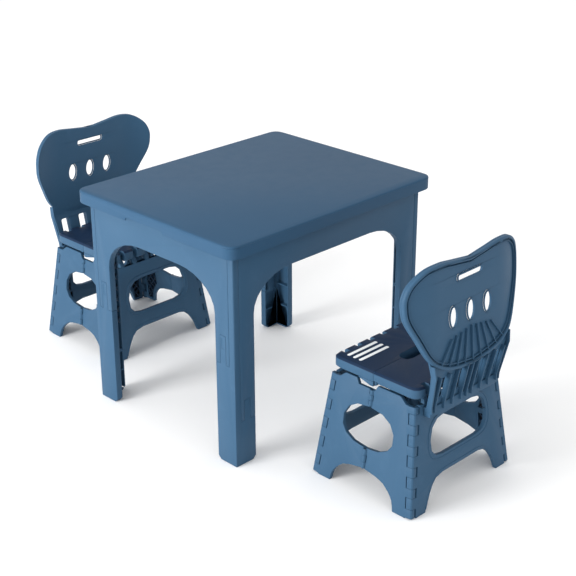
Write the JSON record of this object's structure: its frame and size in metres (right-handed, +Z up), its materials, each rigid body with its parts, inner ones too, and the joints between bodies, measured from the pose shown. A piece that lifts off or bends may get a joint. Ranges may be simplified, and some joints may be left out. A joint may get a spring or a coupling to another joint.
{
  "type": "kids table and chairs set",
  "caption": "Folding table for small children with plug-in leg extensions, and folding chairs whose hinged side walls and seat collapse flat.",
  "frame": {"origin": "on the floor, under the middle of the whole set, 8.5 mm from the middle of the table", "axes": "+X along the table's long side, +Y across it from the near chair to the far chair, +Z up"},
  "size_m": [0.605, 1.2288, 0.5159],
  "materials": {
    "table_top": "satin moulded plastic, dusty blue",
    "panels": "satin moulded plastic, dusty blue",
    "seat": "satin moulded plastic, dark navy",
    "pins": "satin moulded plastic, near black"
  },
  "bodies": {
    "tabletop": {"tabletop": "table_top"},
    "long_frame_near": {"long_frame_near": "panels"},
    "long_frame_far": {"long_frame_far": "panels"},
    "short_frame_left": {"short_frame_left": "panels"},
    "short_frame_right": {"short_frame_right": "panels"},
    "leg_extension_near_left": {"leg_extension_near_left": "panels"},
    "leg_extension_near_right": {"leg_extension_near_right": "panels"},
    "leg_extension_far_left": {"leg_extension_far_left": "panels"},
    "leg_extension_far_right": {"leg_extension_far_right": "panels"},
    "near_rear_panel": {"near_rear_panel": "panels", "near_backrest": "panels", "near_pin_corner_left_rear": "pins", "near_pin_corner_right_rear": "pins", "near_pin_edge_rear": "pins"},
    "near_side_left_rear": {"near_side_left_rear": "panels", "near_pin_side_left_low": "pins", "near_pin_side_left_high": "pins"},
    "near_side_left_front": {"near_side_left_front": "panels"},
    "near_front_panel": {"near_front_panel": "panels", "near_pin_corner_left_front": "pins", "near_pin_corner_right_front": "pins", "near_pin_edge_front": "pins"},
    "near_side_right_rear": {"near_side_right_rear": "panels", "near_pin_side_right_low": "pins", "near_pin_side_right_high": "pins"},
    "near_side_right_front": {"near_side_right_front": "panels"},
    "near_seat_rear": {"near_seat_rear": "seat"},
    "near_seat_front": {"near_seat_front": "seat", "near_pin_seat_left": "pins", "near_pin_seat_right": "pins"},
    "far_rear_panel": {"far_rear_panel": "panels", "far_backrest": "panels", "far_pin_corner_left_rear": "pins", "far_pin_corner_right_rear": "pins", "far_pin_edge_rear": "pins"},
    "far_side_left_rear": {"far_side_left_rear": "panels", "far_pin_side_left_low": "pins", "far_pin_side_left_high": "pins"},
    "far_side_left_front": {"far_side_left_front": "panels"},
    "far_front_panel": {"far_front_panel": "panels", "far_pin_corner_left_front": "pins", "far_pin_corner_right_front": "pins", "far_pin_edge_front": "pins"},
    "far_side_right_rear": {"far_side_right_rear": "panels", "far_pin_side_right_low": "pins", "far_pin_side_right_high": "pins"},
    "far_side_right_front": {"far_side_right_front": "panels"},
    "far_seat_rear": {"far_seat_rear": "seat"},
    "far_seat_front": {"far_seat_front": "seat", "far_pin_seat_left": "pins", "far_pin_seat_right": "pins"}
  },
  "joints": [
    {"name": "fold_long_near", "type": "hinge", "parent": "tabletop", "child": "long_frame_near", "pos_m": [0, -0.20725, 0.466], "axis": [1, 0, 0], "range_deg": [0, 90]},
    {"name": "fold_long_far", "type": "hinge", "parent": "tabletop", "child": "long_frame_far", "pos_m": [0, 0.22425, 0.4505], "axis": [-1, 0, 0], "range_deg": [0, 90]},
    {"name": "fold_short_left", "type": "hinge", "parent": "tabletop", "child": "short_frame_left", "pos_m": [-0.2715, 0.0085, 0.4815], "axis": [0, -1, 0], "range_deg": [0, 90]},
    {"name": "fold_short_right", "type": "hinge", "parent": "tabletop", "child": "short_frame_right", "pos_m": [0.2715, 0.0085, 0.4815], "axis": [0, 1, 0], "range_deg": [0, 90]},
    {"name": "unplug_near_left", "type": "slide", "parent": "tabletop", "child": "leg_extension_near_left", "axis": [0, 0, -1], "range_m": [0, 0.15]},
    {"name": "unplug_near_right", "type": "slide", "parent": "tabletop", "child": "leg_extension_near_right", "axis": [0, 0, -1], "range_m": [0, 0.15]},
    {"name": "unplug_far_left", "type": "slide", "parent": "tabletop", "child": "leg_extension_far_left", "axis": [0, 0, -1], "range_m": [0, 0.15]},
    {"name": "unplug_far_right", "type": "slide", "parent": "tabletop", "child": "leg_extension_far_right", "axis": [0, 0, -1], "range_m": [0, 0.15]},
    {"name": "near_chair_slide", "type": "slide", "parent": "tabletop", "child": "near_rear_panel", "axis": [0, 1, 0], "range_m": [-0.1, 0.2]},
    {"name": "near_fold", "type": "hinge", "parent": "near_rear_panel", "child": "near_side_left_rear", "pos_m": [-0.172, -0.5915, 0], "axis": [-0.128, -0.1049, -0.9862], "range_deg": [0, 72]},
    {"name": "near_left_middle", "type": "hinge", "parent": "near_side_left_rear", "child": "near_side_left_front", "pos_m": [-0.17993, -0.4685, 0.00103], "axis": [0.1355, 0, 0.9908], "range_deg": [0, 143.81]},
    {"name": "near_front_left_corner", "type": "hinge", "parent": "near_side_left_front", "child": "near_front_panel", "pos_m": [-0.172, -0.3455, 0], "axis": [-0.128, 0.1049, -0.9862], "range_deg": [0, 72.5]},
    {"name": "near_rear_right_corner", "type": "hinge", "parent": "near_rear_panel", "child": "near_side_right_rear", "pos_m": [0.128, -0.5915, 0], "axis": [-0.128, 0.1049, 0.9862], "range_deg": [0, 72.5]},
    {"name": "near_front_right_corner", "type": "hinge", "parent": "near_front_panel", "child": "near_side_right_front", "pos_m": [0.128, -0.3455, 0], "axis": [0.128, 0.1049, -0.9862], "range_deg": [0, 72.5]},
    {"name": "near_seat_rear_edge", "type": "hinge", "parent": "near_rear_panel", "child": "near_seat_rear", "pos_m": [-0.022, -0.56223, 0.245], "axis": [1, 0, 0], "range_deg": [0, 69.62]},
    {"name": "near_seat_front_edge", "type": "hinge", "parent": "near_front_panel", "child": "near_seat_front", "pos_m": [-0.022, -0.37477, 0.245], "axis": [-1, 0, 0], "range_deg": [0, 69.62]},
    {"name": "far_chair_slide", "type": "slide", "parent": "tabletop", "child": "far_rear_panel", "axis": [0, -1, 0], "range_m": [-0.1, 0.2]},
    {"name": "far_fold", "type": "hinge", "parent": "far_rear_panel", "child": "far_side_left_rear", "pos_m": [0.138, 0.5915, 0], "axis": [0.128, 0.1049, -0.9862], "range_deg": [0, 72]},
    {"name": "far_left_middle", "type": "hinge", "parent": "far_side_left_rear", "child": "far_side_left_front", "pos_m": [0.14593, 0.4685, 0.00103], "axis": [-0.1355, 0, 0.9908], "range_deg": [0, 143.81]},
    {"name": "far_front_left_corner", "type": "hinge", "parent": "far_side_left_front", "child": "far_front_panel", "pos_m": [0.138, 0.3455, 0], "axis": [0.128, -0.1049, -0.9862], "range_deg": [0, 72.5]},
    {"name": "far_rear_right_corner", "type": "hinge", "parent": "far_rear_panel", "child": "far_side_right_rear", "pos_m": [-0.162, 0.5915, 0], "axis": [0.128, -0.1049, 0.9862], "range_deg": [0, 72.5]},
    {"name": "far_front_right_corner", "type": "hinge", "parent": "far_front_panel", "child": "far_side_right_front", "pos_m": [-0.162, 0.3455, 0], "axis": [-0.128, -0.1049, -0.9862], "range_deg": [0, 72.5]},
    {"name": "far_seat_rear_edge", "type": "hinge", "parent": "far_rear_panel", "child": "far_seat_rear", "pos_m": [-0.012, 0.56223, 0.245], "axis": [-1, 0, 0], "range_deg": [0, 69.62]},
    {"name": "far_seat_front_edge", "type": "hinge", "parent": "far_front_panel", "child": "far_seat_front", "pos_m": [-0.012, 0.37477, 0.245], "axis": [1, 0, 0], "range_deg": [0, 69.62]}
  ],
  "couplings": [
    {"joint": "near_left_middle", "follows": "near_fold", "ratio": 1.9835},
    {"joint": "near_front_left_corner", "follows": "near_fold", "ratio": 1},
    {"joint": "near_rear_right_corner", "follows": "near_fold", "ratio": 1},
    {"joint": "near_front_right_corner", "follows": "near_fold", "ratio": 1},
    {"joint": "near_seat_rear_edge", "follows": "near_fold", "ratio": 0.96},
    {"joint": "near_seat_front_edge", "follows": "near_fold", "ratio": 0.96},
    {"joint": "far_left_middle", "follows": "far_fold", "ratio": 1.9835},
    {"joint": "far_front_left_corner", "follows": "far_fold", "ratio": 1},
    {"joint": "far_rear_right_corner", "follows": "far_fold", "ratio": 1},
    {"joint": "far_front_right_corner", "follows": "far_fold", "ratio": 1},
    {"joint": "far_seat_rear_edge", "follows": "far_fold", "ratio": 0.96},
    {"joint": "far_seat_front_edge", "follows": "far_fold", "ratio": 0.96}
  ]
}
